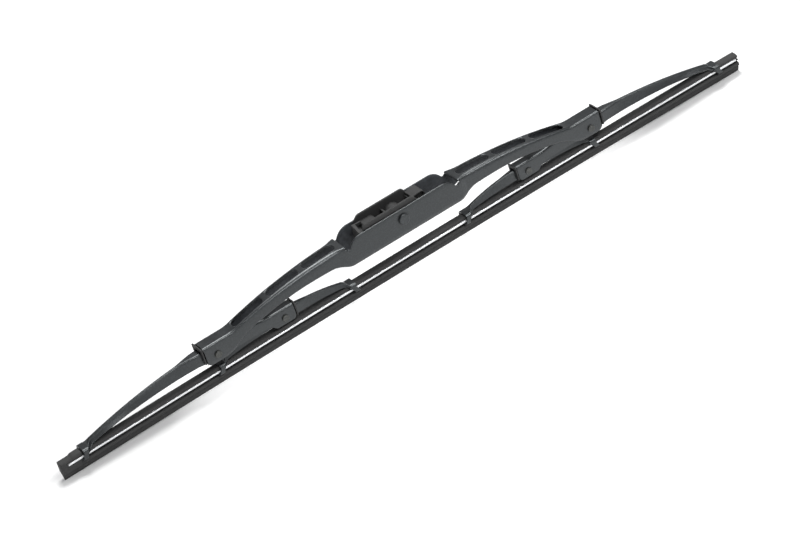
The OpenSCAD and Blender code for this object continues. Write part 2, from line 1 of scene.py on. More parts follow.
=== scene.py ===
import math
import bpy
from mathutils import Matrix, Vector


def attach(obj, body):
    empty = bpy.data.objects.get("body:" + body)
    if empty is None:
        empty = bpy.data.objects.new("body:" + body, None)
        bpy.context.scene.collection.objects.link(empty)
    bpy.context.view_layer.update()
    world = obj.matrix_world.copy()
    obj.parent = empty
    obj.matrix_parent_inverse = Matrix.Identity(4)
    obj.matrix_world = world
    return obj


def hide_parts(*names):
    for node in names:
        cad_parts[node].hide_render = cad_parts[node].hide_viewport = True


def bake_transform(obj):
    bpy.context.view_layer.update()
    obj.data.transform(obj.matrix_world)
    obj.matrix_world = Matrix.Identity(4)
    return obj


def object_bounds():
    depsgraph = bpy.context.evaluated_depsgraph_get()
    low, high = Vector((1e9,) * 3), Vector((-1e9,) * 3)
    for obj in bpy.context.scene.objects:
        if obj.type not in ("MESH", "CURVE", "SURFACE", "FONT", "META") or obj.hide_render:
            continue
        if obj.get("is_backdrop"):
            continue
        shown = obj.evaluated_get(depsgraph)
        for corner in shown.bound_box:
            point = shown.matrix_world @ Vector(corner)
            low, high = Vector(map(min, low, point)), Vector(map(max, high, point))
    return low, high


bl_info = {
    "name": "Wiper blade",
    "version": (1, 0, 0),
    "blender": (4, 5, 0),
    "location": "3D View > Sidebar > Wiper blade",
    "description": "Builds the steel bridge and yokes, rivets, rubber strip and adapter of a wiper blade",
    "category": "Object",
}

import bpy
import numpy as np
from bpy.props import FloatProperty, FloatVectorProperty, PointerProperty
from mathutils import Matrix, Vector

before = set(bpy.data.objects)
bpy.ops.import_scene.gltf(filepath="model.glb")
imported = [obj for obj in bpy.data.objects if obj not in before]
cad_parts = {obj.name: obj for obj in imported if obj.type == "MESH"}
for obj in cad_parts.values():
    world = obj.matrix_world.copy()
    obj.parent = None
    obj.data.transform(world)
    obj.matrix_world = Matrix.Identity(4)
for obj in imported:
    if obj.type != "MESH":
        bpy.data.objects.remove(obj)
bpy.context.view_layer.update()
MM = 0.001

# Levels and places of the frame, in millimetres
HALF_BLADE = 228.5
BOW = 1.8
STRIP_DROP = 23.2
OPENING = 37.3
RIVET_X = 125.5
RIVET_DROP = 14.8
BRIDGE_END = 133.0
END_CORNER = 3.4
FLAT_X = 114.0
WEB_UP = 3.3
END_WEB = -7.4
CHEEK_UP = 6.2
CHEEK_LOW = -9.7
SHOULDER_R = 9.2
SHOULDER_X = OPENING - 1.1 - SHOULDER_R
BEND_R = 1.6
RELIEF = 1.2
INNER_X = 82.0
INNER_DROP = 18.5
TIP_CLAW = 213.0
CLAW_REACH = 43.1
CLAW_LENGTH = 3.4
CLAW_FLARE = 3.2
RIDGE_END = 1.8
CHANNEL_X = 75.5
CHANNEL_TOP = -12.6
OUTER_RIDGE = -10.0
INNER_RIDGE = -14.8
CLAW_ROOM = 0.3
CLAW_WIDTH = 7.5


# Curves of one number


def ramp(a, b, x):
    """Straight rise from 0 at a to 1 at b, held outside."""
    return np.clip((np.asarray(x, float) - a) / (b - a), 0.0, 1.0)


def ease(a, b, x):
    """Smooth rise from 0 at a to 1 at b: three squares less two cubes of the straight rise."""
    s = ramp(a, b, x)
    return s * s * (3 - 2 * s)


def mix(p, q, s):
    """Value between p and q at the share s."""
    return p + (q - p) * s


def strip_top(x):
    """Top of the strip: a parabola that drops by the bow at both ends."""
    return -STRIP_DROP - BOW * (np.asarray(x, float) / HALF_BLADE) ** 2


# Mesh helpers


def new_object(name, verts, faces, material, smooth_angle=35.0):
    """Mesh object from points in millimetres and faces, smooth below the given angle."""
    mesh = bpy.data.meshes.new(name)
    mesh.from_pydata((np.asarray(verts, float) * MM).tolist(), [], [list(map(int, f)) for f in faces])
    mesh.validate()
    mesh.polygons.foreach_set("use_smooth", np.ones(len(mesh.polygons), bool))
    if smooth_angle:
        mesh.set_sharp_from_angle(angle=math.radians(smooth_angle))
    mesh.materials.append(material)
    obj = bpy.data.objects.new(name, mesh)
    bpy.context.scene.collection.objects.link(obj)
    return obj


def drop_unused(verts, faces):
    """Points that no face uses are left out, and the faces are renumbered."""
    used = np.unique(np.concatenate([np.asarray(f) for f in faces]))
    place = np.full(len(verts), -1)
    place[used] = np.arange(len(used))
    return np.asarray(verts)[used], [place[np.asarray(f)] for f in faces]


def grid_faces(rows, cols, keep=None, wrap=False):
    """Quads of a grid of rows by cols points, without the cells where keep is false."""
    width = cols if wrap else cols - 1
    i, j = np.meshgrid(np.arange(rows - 1), np.arange(width), indexing="ij")
    nxt = (j + 1) % cols
    quads = np.stack([i * cols + j, (i + 1) * cols + j, (i + 1) * cols + nxt, i * cols + nxt], -1)
    if keep is not None:
        return quads[keep]
    return quads.reshape(-1, 4)


def outward(obj):
    """Turns every face of a mesh of closed shells outwards."""
    bpy.ops.object.select_all(action="DESELECT")
    bpy.context.view_layer.objects.active = obj
    obj.select_set(True)
    bpy.ops.object.mode_set(mode="EDIT")
    bpy.ops.mesh.select_all(action="SELECT")
    bpy.ops.mesh.normals_make_consistent(inside=False)
    bpy.ops.object.mode_set(mode="OBJECT")


def soften(obj, width, segments=2, angle=40.0):
    """Rounds the sharp edges by width millimetres, or cuts them flat where segments is 1."""
    bevel = obj.modifiers.new("Edges", "BEVEL")
    bevel.width = width * MM
    bevel.segments = segments
    bevel.limit_method = "ANGLE"
    bevel.angle_limit = math.radians(angle)
    bevel.use_clamp_overlap = segments > 1
    if segments == 1:
        bevel.mark_sharp = True
        return obj
    normals = obj.modifiers.new("Normals", "WEIGHTED_NORMAL")
    normals.keep_sharp = False
    normals.weight = 60
    return obj


def pressed(name, verts, faces, material, sheet, edge, segments=3):
    """Pressed sheet: the outer skin is thickened inwards, and its cut edges are softened."""
    verts, faces = drop_unused(verts, faces)
    obj = new_object(name, verts, faces, material, 0)
    wall = obj.modifiers.new("Sheet", "SOLIDIFY")
    wall.thickness = sheet * MM
    wall.offset = -1.0
    wall.use_even_offset = True
    wall.use_quality_normals = True
    # The inner faces take a lighter paint: painted light in the channel's shaded inside.
    wall.material_offset = 1
    obj.data.materials.append(finish("inside_paint_painted_light"))
    return soften(obj, edge, segments)


# Pressed channels


def half_profile(low, top, w_low, w_top, radius, fold, tip, cells):
    """Right half of a channel's outer skin at each station, from the finger's tip up to the web.

    The finger runs level to its fold, a quarter circle; the cheek is straight; the bend is a
    quarter circle; the web runs level to the middle. Arrays have one row for each station.
    """
    finger, turn, cheek, bend, web = cells
    col = lambda v: np.asarray(v, float)[:, None]
    low, top, w_low, w_top, radius, fold, tip = map(col, (low, top, w_low, w_top, radius, fold, tip))
    a = np.linspace(0, 1, finger + 1)[None, :-1]
    y0, z0 = mix(tip, w_low / 2 - fold, a), low + 0 * a
    a = np.radians(np.linspace(0, 90, turn + 1))[None, :-1]
    y1 = w_low / 2 - fold + fold * np.sin(a)
    z1 = low + fold * (1 - np.cos(a))
    a = np.linspace(0, 1, cheek + 1)[None, :-1]
    y2 = mix(w_low / 2, w_top / 2, a)
    z2 = mix(low + fold, top - radius, a)
    a = np.radians(np.linspace(0, 90, bend + 1))[None, :-1]
    y3 = w_top / 2 - radius * (1 - np.cos(a))
    z3 = top - radius * (1 - np.sin(a))
    a = np.linspace(0, 1, web + 1)[None, :]
    y4, z4 = mix(w_top / 2 - radius, 0, a), top + 0 * a
    return np.hstack([y0, y1, y2, y3, y4]), np.hstack([z0, z1, z2, z3, z4])


def channel_grid(x, y, z, low, top, middle=None, lean=None):
    """Whole skin from its right half: the same columns on both sides of the blade's plane.

    Where a claw has a middle, its strap narrows to a neck by a half sine on the way down and its
    foot is swept along the blade by the lean times the depth to the power of one and a half.
    """
    xs = x[:, None] + 0 * z
    if middle is not None:
        share = ramp(0, 1, (top[:, None] - z) / np.maximum(top - low, 0.01)[:, None])
        neck = 1 - 0.3 * np.sin(np.pi * share)
        xs = middle[:, None] + (xs - middle[:, None]) * neck + lean[:, None] * share**1.5
    full = lambda a, sign: np.hstack([sign * a, a[:, -2::-1]])
    return np.stack([full(xs, 1), full(y, -1), full(z, 1)], -1)


def bridge_web(x):
    """Web of the bridge: an arc that falls from the opening and eases into the flat end."""
    arch = OPENING + 0.7
    radius = (FLAT_X - arch) ** 2 / (2 * (WEB_UP - END_WEB))
    fall = WEB_UP - np.maximum(0, np.abs(x) - arch) ** 2 / (2 * radius)
    gap = np.abs(fall - END_WEB)
    return np.maximum(fall, END_WEB) + np.maximum(0, 0.8 - gap) ** 2 / 3.2


def bridge_width(x):
    """Width over the cheeks: full at the opening, a quick step in, then a straight taper."""
    a = np.abs(x)
    return mix(mix(15.5, 13.8, ease(OPENING, OPENING + 6, a)), 10.0, ramp(OPENING + 12, FLAT_X + 4, a))


def bridge_low(x):
    """Lower edge: level under the cheeks, then parallel to the web, deeper at the ends."""
    a = np.abs(x)
    root = mix(8.9, 7.0, ease(OPENING, OPENING + 44, a))
    arm = bridge_web(x) - mix(root, 12.0, ease(FLAT_X - 10, FLAT_X + 8, a))
    c = np.maximum(0, a - (BRIDGE_END - END_CORNER))
    lift = END_CORNER - np.sqrt(np.maximum(0, END_CORNER**2 - c**2))
    return mix(CHEEK_LOW, arm, ease(OPENING - 2, OPENING + 11, a)) + 0.98 * lift


def cheek_top(x):
    """Upper edge of a cheek beside the opening: level, then a round shoulder."""
    c = np.maximum(0, np.abs(x) - SHOULDER_X)
    fall = SHOULDER_R - np.sqrt(np.maximum(0, SHOULDER_R**2 - c**2))
    return np.maximum(CHEEK_UP - fall, 0.9)


# Web slots: half sizes, corner radius, the frame of grid lines around one, and its shares
SLOT_HALF = (10.4, 3.1)
SLOT_START = 4
SLOT_PITCH = 24.4
SLOT_CORNER = 2.4
SLOT_FRAME = (10.9, 3.34)
SLOT_U = np.array([0, 0.25, 0.5, 0.769, 0.82, 0.87, 0.92, 0.96, 1.0])
SLOT_V = np.array([0, 0.226, 0.42, 0.6, 0.8, 1.0])


def both_ways(a):
    """The values of a, and their negatives, in order."""
    return np.concatenate([-a[:0:-1], a])


def slot_middles():
    """Middles of the web slots, left and right."""
    right = OPENING + SLOT_START + SLOT_HALF[0] + SLOT_PITCH * np.arange(3)
    return np.concatenate([-right[::-1], right])


def rounded_rectangle(u, v, half, corner):
    """Point of a rounded rectangle that answers to a point of the unit square's edge.

    The point is clamped to the core rectangle, and what is left over is scaled to the corner radius.
    """
    p = np.stack([u * half[0], v * half[1]], -1)
    core = np.array(half) - corner
    base = np.clip(p, -core, core)
    rest = p - base
    return base + rest / np.linalg.norm(rest, axis=-1, keepdims=True) * corner


def bridge_skin():
    """Outer skin of the bridge: one grid along and across, open at the adapter and at the slots.

    Each half row is a straight cheek, a bend of a quarter circle and a level web. A slot's cells
    are left out, and its rim is joined to the grid by one ring of faces.
    """
    parts = [
        np.linspace(0, SHOULDER_X, 14),
        SHOULDER_X + SHOULDER_R * np.sin(np.radians(np.linspace(5, 90, 15))),
        [OPENING - 0.5, OPENING, OPENING + RELIEF, OPENING + 2.2, OPENING + 3],
        np.linspace(FLAT_X - 1, BRIDGE_END - END_CORNER, 14),
        BRIDGE_END - END_CORNER * (1 - np.sin(np.radians(np.linspace(10, 90, 8)))),
    ]
    parts += [c + SLOT_FRAME[0] * both_ways(SLOT_U) for c in slot_middles()[3:]]
    xs = np.unique(np.round(np.concatenate([np.asarray(p, float) for p in parts]), 4))
    xs = np.concatenate([-xs[:0:-1], xs])
    web, width, low = bridge_web(xs), bridge_width(xs), bridge_low(xs)
    inside = np.abs(xs) < OPENING - 0.01
    cheek, bend, flat = 6, 9, 2
    wide = np.minimum(3.0, width / 2 - SLOT_FRAME[1] - 0.04)
    r = mix(BEND_R, wide, ramp(OPENING + RELIEF, OPENING + 9, np.abs(xs)))
    wall_top = np.where(inside, cheek_top(xs), web - r)
    r = r[:, None]
    a = np.linspace(0, 1, cheek + 1)[None, :-1]
    y = [width[:, None] / 2 + 0 * a]
    z = [mix(low[:, None], wall_top[:, None], a)]
    a = np.radians(np.linspace(0, 90, bend + 1))[None, :-1]
    y.append(width[:, None] / 2 - r * (1 - np.cos(a)))
    z.append(wall_top[:, None] + r * np.sin(a))
    a = np.linspace(0, 1, flat + 1)[None, :-1]
    y.append(mix(width[:, None] / 2 - r, SLOT_FRAME[1], a))
    z.append(web[:, None] + 0 * a)
    a = SLOT_FRAME[1] * SLOT_V[::-1][None, :]
    y.append(a + 0 * xs[:, None])
    z.append(web[:, None] + 0 * a)
    y, z = np.hstack(y), np.hstack(z)
    pts = channel_grid(xs, y, z, low, web)
    rows, cols = pts.shape[:2]
    mid_x = (xs[1:] + xs[:-1]) / 2
    keep = np.ones((rows - 1, cols - 1), bool)
    opened = np.abs(mid_x) < OPENING
    keep[opened, cheek : cols - 1 - cheek] = False
    relief = (np.abs(mid_x) > OPENING) & (np.abs(mid_x) < OPENING + RELIEF)
    notch = 4
    for first in (cheek, cols - 1 - cheek - notch):
        keep[relief, first : first + notch] = False
    first = cheek + bend + flat
    last = cols - 1 - first
    index = np.arange(rows * cols).reshape(rows, cols)
    verts, faces = [pts.reshape(-1, 3)], []
    count = rows * cols
    u, v = both_ways(SLOT_U), both_ways(SLOT_V)
    for c in slot_middles():
        i0 = int(np.argmin(np.abs(xs - (c - SLOT_FRAME[0]))))
        i1 = int(np.argmin(np.abs(xs - (c + SLOT_FRAME[0]))))
        keep[i0:i1, first:last] = False
        near, right = index[i0:i1, first], index[i1, first:last]
        far, left = index[i1:i0:-1, last], index[i0, last:first:-1]
        rim = np.concatenate([near, right, far, left])
        one_u, one_v = np.ones(len(u) - 1), np.ones(len(v) - 1)
        su = np.concatenate([u[:-1], one_v, u[:0:-1], -one_v])
        sv = np.concatenate([-one_u, v[:-1], one_u, v[:0:-1]])
        flat_pts = rounded_rectangle(su, sv, SLOT_HALF, SLOT_CORNER)
        x = c + flat_pts[:, 0]
        verts.append(np.stack([x, flat_pts[:, 1], bridge_web(x)], -1))
        hole = count + np.arange(len(rim))
        count += len(rim)
        faces += np.stack([rim, np.roll(rim, -1), np.roll(hole, -1), hole], -1).tolist()
    return np.concatenate(verts), grid_faces(rows, cols, keep).tolist() + faces


def claw_rows(middle, way, sheet, steps=7):
    """Stations of a claw: places along the blade and its sizes there."""
    s = np.linspace(-CLAW_LENGTH / 2, CLAW_LENGTH / 2, steps)
    level = float(strip_top(middle))
    low = level - 3.6 - 0.15 - sheet
    top = level + 0.25 + sheet
    return {
        "x": middle + way * s,
        "low": np.full(steps, low),
        "top": np.full(steps, top),
        "w_low": np.full(steps, CLAW_WIDTH + 2 * sheet),
        "w_top": np.full(steps, CLAW_WIDTH + 2 * sheet),
        "middle": np.full(steps, float(middle)),
        "lean": np.full(steps, 1.8 * way),
        "claw": np.ones(steps, bool),
    }


def arm_top(start_z, strap_z, start, end, straight, u):
    """Top of an arm: a straight and a square part of its fall, then the drop to the claw's strap."""
    r = ramp(start, end, u)
    ridge = mix(start_z, strap_z + RIDGE_END, straight * r + (1 - straight) * r * r)
    return mix(ridge, strap_z, ramp(end - CLAW_FLARE, end, u) ** 2)


def join_rows(*parts):
    """Stations of several stretches, one after the other."""
    return {k: np.concatenate([np.asarray(p[k]) for p in parts]) for k in parts[0]}


def yoke_skin(rows, sheet, bend_radius):
    """Outer skin of a yoke: a folded channel whose ends go down and turn in as claws."""
    cells = (3, 6, 6, 7, 4)
    claw = rows["claw"]
    radius = np.where(claw, 1.9, np.minimum(bend_radius, rows["w_top"] / 2 - 0.02))
    fold = np.where(claw, sheet + 0.25, 1e-4)
    tip = np.where(claw, 1.75, rows["w_low"] / 2 - 1e-4)
    y, z = half_profile(rows["low"], rows["top"], rows["w_low"], rows["w_top"], radius, fold, tip, cells)
    pts = channel_grid(rows["x"], y, z, rows["low"], rows["top"], rows["middle"], rows["lean"])
    n, cols = pts.shape[:2]
    keep = np.ones((n - 1, cols - 1), bool)
    edge = cells[0] + cells[1]
    plain = ~(claw[1:] & claw[:-1])
    keep[plain, :edge] = False
    keep[plain, cols - 1 - edge :] = False
    return pts.reshape(-1, 3), grid_faces(n, cols, keep).tolist()


def over_strip(x):
    """Lowest level that an arm reaches over the strip."""
    return strip_top(x) + 0.3


def outer_top(x):
    """Ridge of the outer yoke: level in the channel, up to the liner, then down to the claw."""
    start, end = RIVET_X + 14, TIP_CLAW - CLAW_LENGTH / 2 - CLAW_ROOM
    rise = mix(CHANNEL_TOP, OUTER_RIDGE, ease(CHANNEL_X + 15, CHANNEL_X + 36, x))
    fall = arm_top(OUTER_RIDGE, float(strip_top(TIP_CLAW)) + 1.25, start, end, 0.34, x)
    return np.where(x < start, rise, fall)


OUTER_CORNER = 2.2


def outer_low(x):
    """Lower edge of the outer yoke's cheeks."""
    past = CHANNEL_X + 13
    channel = mix(-21.9, -RIVET_DROP - 3.6, ease(past - 1, past + 4, x))
    arm = outer_top(x) - mix(6.9, 1.9, ramp(RIVET_X + 14, TIP_CLAW - 2, x))
    low = np.maximum(mix(channel, arm, ease(RIVET_X + 3, RIVET_X + 13, x)), over_strip(x))
    c = np.maximum(0, CHANNEL_X + OUTER_CORNER - x)
    return low + OUTER_CORNER - np.sqrt(np.maximum(0, OUTER_CORNER**2 - c**2))


def plain_arm(x, low, top, w_low, w_top):
    """Stations of an arm: no claw, no lean, and each station is its own middle."""
    sizes = {"low": low, "top": top, "w_low": w_low, "w_top": w_top}
    return {"x": x, **sizes, "middle": x, "lean": 0 * x, "claw": np.zeros(len(x), bool)}


def outer_rows():
    """Stations of the right outer yoke."""
    width = 6.9
    end = TIP_CLAW - CLAW_LENGTH / 2
    x = np.concatenate(
        [
            CHANNEL_X + OUTER_CORNER * (1 - np.cos(np.radians(np.linspace(0, 80, 7)))),
            np.linspace(CHANNEL_X + 2.6, CHANNEL_X + 12, 5),
            np.linspace(CHANNEL_X + 12.4, CHANNEL_X + 18, 8),
            np.linspace(CHANNEL_X + 20, RIVET_X + 3, 15),
            np.linspace(RIVET_X + 4, RIVET_X + 27, 20),
            np.linspace(RIVET_X + 28.5, end - CLAW_ROOM - CLAW_FLARE, 32),
            end - CLAW_ROOM - CLAW_FLARE * (1 - np.linspace(0.12, 1, 10)),
        ]
    )
    spread = ramp(end - CLAW_ROOM - CLAW_FLARE, end - CLAW_ROOM, x) ** 2
    closing = ease(RIVET_X + 9, RIVET_X + 27, x)
    w_low = mix(mix(width, width - 0.7, closing), 9.1, spread)
    w_top = mix(mix(width, 2.6, closing), 8.3, spread)
    arm = plain_arm(x, outer_low(x), outer_top(x), w_low, w_top)
    return join_rows(arm, claw_rows(TIP_CLAW, 1, 1.0))


def inner_rows():
    """Stations of the right inner yoke, from its inner claw to its outer one."""
    width = 4.1
    end = CLAW_REACH - CLAW_LENGTH / 2
    half = np.concatenate(
        [
            np.linspace(0, 7, 5),
            np.linspace(8, 18, 11),
            np.linspace(19.5, end - CLAW_ROOM - CLAW_FLARE, 14),
            end - CLAW_ROOM - CLAW_FLARE * (1 - np.linspace(0.12, 1, 10)),
        ]
    )
    u = np.concatenate([-half[:0:-1], half])
    x = INNER_X + u
    a = np.abs(u)
    last = np.where(u > 0, strip_top(INNER_X + CLAW_REACH), strip_top(INNER_X - CLAW_REACH)) + 1.05
    top = arm_top(INNER_RIDGE, last, 6, end - CLAW_ROOM, 0.13, a)
    low = np.maximum(top - mix(6.0, 2.4, ramp(4, CLAW_REACH - 2, a) ** 1.5), over_strip(x))
    spread = ramp(end - CLAW_ROOM - CLAW_FLARE, end - CLAW_ROOM, a) ** 2
    w_top = mix(mix(width, 2.3, ease(7, 18, a)), 7.9, spread)
    arm = plain_arm(x, low, top, mix(width, 8.7, spread), w_top)
    near = claw_rows(INNER_X - CLAW_REACH, -1, 0.8)
    near = {k: v[::-1] for k, v in near.items()}
    return join_rows(near, arm, claw_rows(INNER_X + CLAW_REACH, 1, 0.8))


# Turned and extruded pieces


def turned(profile, middle, steps=48):
    """Surface of revolution about a line across the blade: each point of the profile is turned."""
    profile = np.asarray(profile, float)
    a = np.linspace(0, 2 * np.pi, steps, endpoint=False)
    x = middle[0] + profile[:, 1][:, None] * np.cos(a)
    z = middle[2] + profile[:, 1][:, None] * np.sin(a)
    y = middle[1] + profile[:, 0][:, None] + 0 * a
    pts = np.stack([x, y, z], -1).reshape(-1, 3)
    n = len(profile)
    faces = grid_faces(n, steps, wrap=True).tolist()
    faces.append(list(range(steps)))
    faces.append(list(range((n - 1) * steps, n * steps))[::-1])
    return pts, faces


def rivet_profile(reach, shank, head, height):
    """Half outline of a rivet, end to end: a flat face, a rounded rim, a small step and the shank."""
    a = np.radians(np.linspace(0, 90, 7))
    rim = 0.42 * height
    face = [(reach + height - 0.08, 0.62 * head / 2)]
    rounded = [(reach + height - rim + rim * math.cos(t), head / 2 - rim + rim * math.sin(t)) for t in a]
    foot = [(reach + 0.05, head / 2), (reach - 0.02, head / 2 - 0.02), (reach - 0.02, shank / 2)]
    half = face + rounded + foot
    return half + [(-y, r) for y, r in half[::-1]]


def extruded(outline, low, high, axis, caps=None):
    """Prism of an outline between two levels: axis 'y' takes (x, z) points, 'x' takes (y, z).

    Each end is one face, or the faces that caps lists as rows of the outline's point numbers.
    """
    outline = np.asarray(outline, float)
    n = len(outline)
    ends = []
    for level in (low, high):
        columns = [outline[:, 0], outline[:, 1]]
        columns.insert(1 if axis == "y" else 0, np.full(n, level))
        ends.append(np.stack(columns, -1))
    i = np.arange(n)
    j = (i + 1) % n
    faces = np.stack([i, j, j + n, i + n], -1).tolist()
    for cap in caps or [range(n)]:
        faces += [list(cap)[::-1], [k + n for k in cap]]
    return np.concatenate(ends), faces


def gather(*parts):
    """Several sets of points and faces as one."""
    verts, faces, count = [], [], 0
    for v, f in parts:
        verts.append(np.asarray(v, float))
        faces += [[int(k) + count for k in face] for face in f]
        count += len(v)
    return np.concatenate(verts), faces


def arc(cx, cz, r, start, end, steps):
    """Points of a circle's arc, in degrees."""
    a = np.radians(np.linspace(start, end, steps))
    return np.stack([cx + r * np.cos(a), cz + r * np.sin(a)], -1).tolist()


def both_ends(verts, faces):
    """The piece at the left end, mirrored and turned outwards, and the piece at the right end."""
    verts = np.asarray(verts, float)
    yield "left", verts * np.array([-1, 1, 1]), [list(f)[::-1] for f in faces]
    yield "right", verts, faces


# Finishes


def map_range(tree, value, low, high, to_low, to_high, smooth=False):
    """The value, carried from one range to another in a straight line or a smooth step."""
    node = tree.nodes.new("ShaderNodeMapRange")
    if smooth:
        node.interpolation_type = "SMOOTHSTEP"
    numbers = {"From Min": low, "From Max": high, "To Min": to_low, "To Max": to_high}
    for key, number in numbers.items():
        node.inputs[key].default_value = number
    tree.links.new(value, node.inputs["Value"])
    return node.outputs["Result"]


def sum_node(tree, operation, *values):
    """Result of a sum on sockets."""
    node = tree.nodes.new("ShaderNodeMath")
    node.operation = operation
    for socket, value in zip(node.inputs, values):
        tree.links.new(value, socket)
    return node.outputs[0]


class Finish:
    """Nodes of one material, on Object coordinates."""

    def __init__(self, name):
        self.material = bpy.data.materials.new(name)
        self.material.use_nodes = True
        self.tree = self.material.node_tree
        self.shader = self.tree.nodes["Principled BSDF"]
        self.coords = self.add("ShaderNodeTexCoord").outputs["Object"]

    def add(self, kind, **values):
        """New node, with the values of its sockets."""
        node = self.tree.nodes.new(kind)
        for key, value in values.items():
            node.inputs[key].default_value = value
        return node

    def link(self, a, b):
        self.tree.links.new(a, b)

    def put(self, socket, value):
        """Constant value on one of the shader's own sockets."""
        self.shader.inputs[socket].default_value = value

    def stretched(self, scale):
        """Object coordinates, scaled by axis."""
        node = self.add("ShaderNodeMapping", Scale=scale)
        self.link(self.coords, node.inputs["Vector"])
        return node.outputs["Vector"]

    def noise(self, scale, detail=3.0, vector=None, roughness=0.5):
        """Noise from 0 to 1."""
        node = self.add("ShaderNodeTexNoise", Scale=scale, Detail=detail, Roughness=roughness)
        self.link(vector or self.coords, node.inputs["Vector"])
        return node.outputs["Fac"]

    def rough(self, value, low, high):
        """Roughness that goes from low to high where the value goes from 0.3 to 0.7."""
        self.link(map_range(self.tree, value, 0.3, 0.7, low, high), self.shader.inputs["Roughness"])

    def paint(self, value, *stops):
        """Base colour that runs through the stops, each a (place, colour), with the value."""
        node = self.add("ShaderNodeValToRGB")
        ramp_stops = node.color_ramp.elements
        while len(ramp_stops) < len(stops):
            ramp_stops.new(0.5)
        for stop, (place, colour) in zip(ramp_stops, stops):
            stop.position = place
            stop.color = (*colour, 1.0)
        self.link(value, node.inputs["Fac"])
        self.link(node.outputs["Color"], self.shader.inputs["Base Color"])

    def bump(self, heights, strength=0.3):
        """Chains bumps: each entry is (height socket, depth in millimetres)."""
        normal = None
        for height, depth in heights:
            node = self.add("ShaderNodeBump", Strength=strength, Distance=depth * MM)
            self.link(height, node.inputs["Height"])
            if normal is not None:
                self.link(normal, node.inputs["Normal"])
            normal = node.outputs["Normal"]
        self.link(normal, self.shader.inputs["Normal"])


def shade(colour, factor):
    """A colour made lighter or darker."""
    return tuple(min(1.0, c * factor) for c in colour)


def painted_steel(name, colour, roughness, grain=0.02):
    """Satin powder paint: fine speckle and orange peel, with a faint cloudy gloss."""
    f = Finish(name)
    speck = f.noise(1150.0, 2.0)
    f.paint(speck, (0.36, shade(colour, 0.5)), (0.5, shade(colour, 0.93)), (0.66, shade(colour, 1.75)))
    f.rough(f.noise(70.0, 4.0), roughness - 0.04, roughness + 0.05)
    f.put("Specular IOR Level", 0.7)
    f.put("Specular Tint", (0.93, 0.98, 1.0, 1))
    f.bump([(speck, grain * 2.0), (f.noise(240.0, 2.0), grain * 1.5)], 0.35)
    return f.material


def dull_steel(name, colour):
    """Thin matt, cloudy paint on the inner face of a pressing; the colour it gets is lighter than the outer
    paint, as painted light in the shaded inside of the channels.
    """
    f = Finish(name)
    f.paint(f.noise(420.0, 3.0), (0.3, shade(colour, 0.75)), (0.7, shade(colour, 1.25)))
    f.rough(f.noise(90.0, 3.0), 0.5, 0.62)
    f.put("Specular IOR Level", 0.2)
    f.bump([(f.noise(1150.0, 2.0), 0.02)], 0.4)
    return f.material


def moulded_plastic(name, colour, roughness):
    """Black moulded plastic: fine spark texture and slightly uneven gloss."""
    f = Finish(name)
    f.paint(f.noise(120.0, 3.0), (0.3, shade(colour, 0.85)), (0.7, shade(colour, 1.2)))
    f.rough(f.noise(900.0, 2.0), roughness - 0.06, roughness + 0.08)
    f.put("Specular IOR Level", 1.0)
    f.put("Specular Tint", (0.86, 0.95, 1.0, 1))
    f.bump([(f.noise(1900.0, 2.0), 0.02)], 0.4)
    return f.material


def strip_rubber(name, colour, roughness):
    """Extruded rubber: fine lines along the strip, a dull bloom and a soft sheen."""
    f = Finish(name)
    lines = f.noise(1.0, 3.0, f.stretched((8.0, 900.0, 900.0)))
    bloom = f.noise(38.0, 5.0, roughness=0.62)
    f.paint(bloom, (0.25, shade(colour, 0.82)), (0.75, shade(colour, 1.22)))
    f.rough(bloom, roughness - 0.06, roughness + 0.06)
    f.put("Specular IOR Level", 0.8)
    f.bump([(lines, 0.02), (f.noise(1700.0, 2.0), 0.012)], 0.35)
    return f.material


def spring_steel(name, colour, roughness):
    """Bright rolled steel: fine lines along the rail."""
    f = Finish(name)
    lines = f.noise(1.0, 4.0, f.stretched((15.0, 2500.0, 2500.0)))
    f.paint(lines, (0.2, shade(colour, 0.93)), (0.8, shade(colour, 1.04)))
    f.put("Metallic", 1.0)
    f.rough(lines, roughness - 0.05, roughness + 0.08)
    f.bump([(lines, 0.01)], 0.3)
    return f.material


def seen_by_eye(tree):
    """1 on rays that the camera, a mirror or a glass sends out, and 0 on the others."""
    path = tree.nodes.new("ShaderNodeLightPath")
    total = path.outputs["Is Camera Ray"]
    for name in ("Is Glossy Ray", "Is Transmission Ray"):
        total = sum_node(tree, "MAXIMUM", total, path.outputs[name])
    return total


def settings():
    """Values of the panel."""
    return bpy.context.scene.wiper_blade


def finish(key):
    """Material of one finish, made once."""
    made = bpy.data.materials.get(key)
    if made:
        return made
    s = settings()
    makers = {
        "bridge_paint": lambda: painted_steel(key, s.paint_colour, s.paint_roughness),
        "yoke_paint": lambda: painted_steel(key, shade(s.paint_colour, 0.92), s.paint_roughness + 0.02),
        # The inner faces get five times the outer paint's colour: painted light that brightens their shade.
        "inside_paint_painted_light": lambda: dull_steel(key, shade(s.paint_colour, 5.0)),
        "pin_paint": lambda: painted_steel(key, shade(s.paint_colour, 1.3), 0.42),
        "rivet_paint": lambda: painted_steel(key, s.rivet_colour, 0.5, 0.03),
        "adapter_plastic": lambda: moulded_plastic(key, s.plastic_colour, 0.33),
        "liner_plastic": lambda: moulded_plastic(key, shade(s.plastic_colour, 0.8), 0.38),
        "strip_rubber": lambda: strip_rubber(key, s.rubber_colour, 0.42),
        "rail_steel": lambda: spring_steel(key, s.rail_colour, 0.22),
    }
    return makers[key]()


# Settings


def millimetres(name, words, default, low, high):
    """Setting of a length in millimetres."""
    words += ", in millimetres"
    return FloatProperty(name=name, description=words, default=default, min=low, max=high)


def tint(name, words, default):
    """Setting of a colour."""
    return FloatVectorProperty(name=name, description=words, default=default, subtype="COLOR", min=0, max=1)


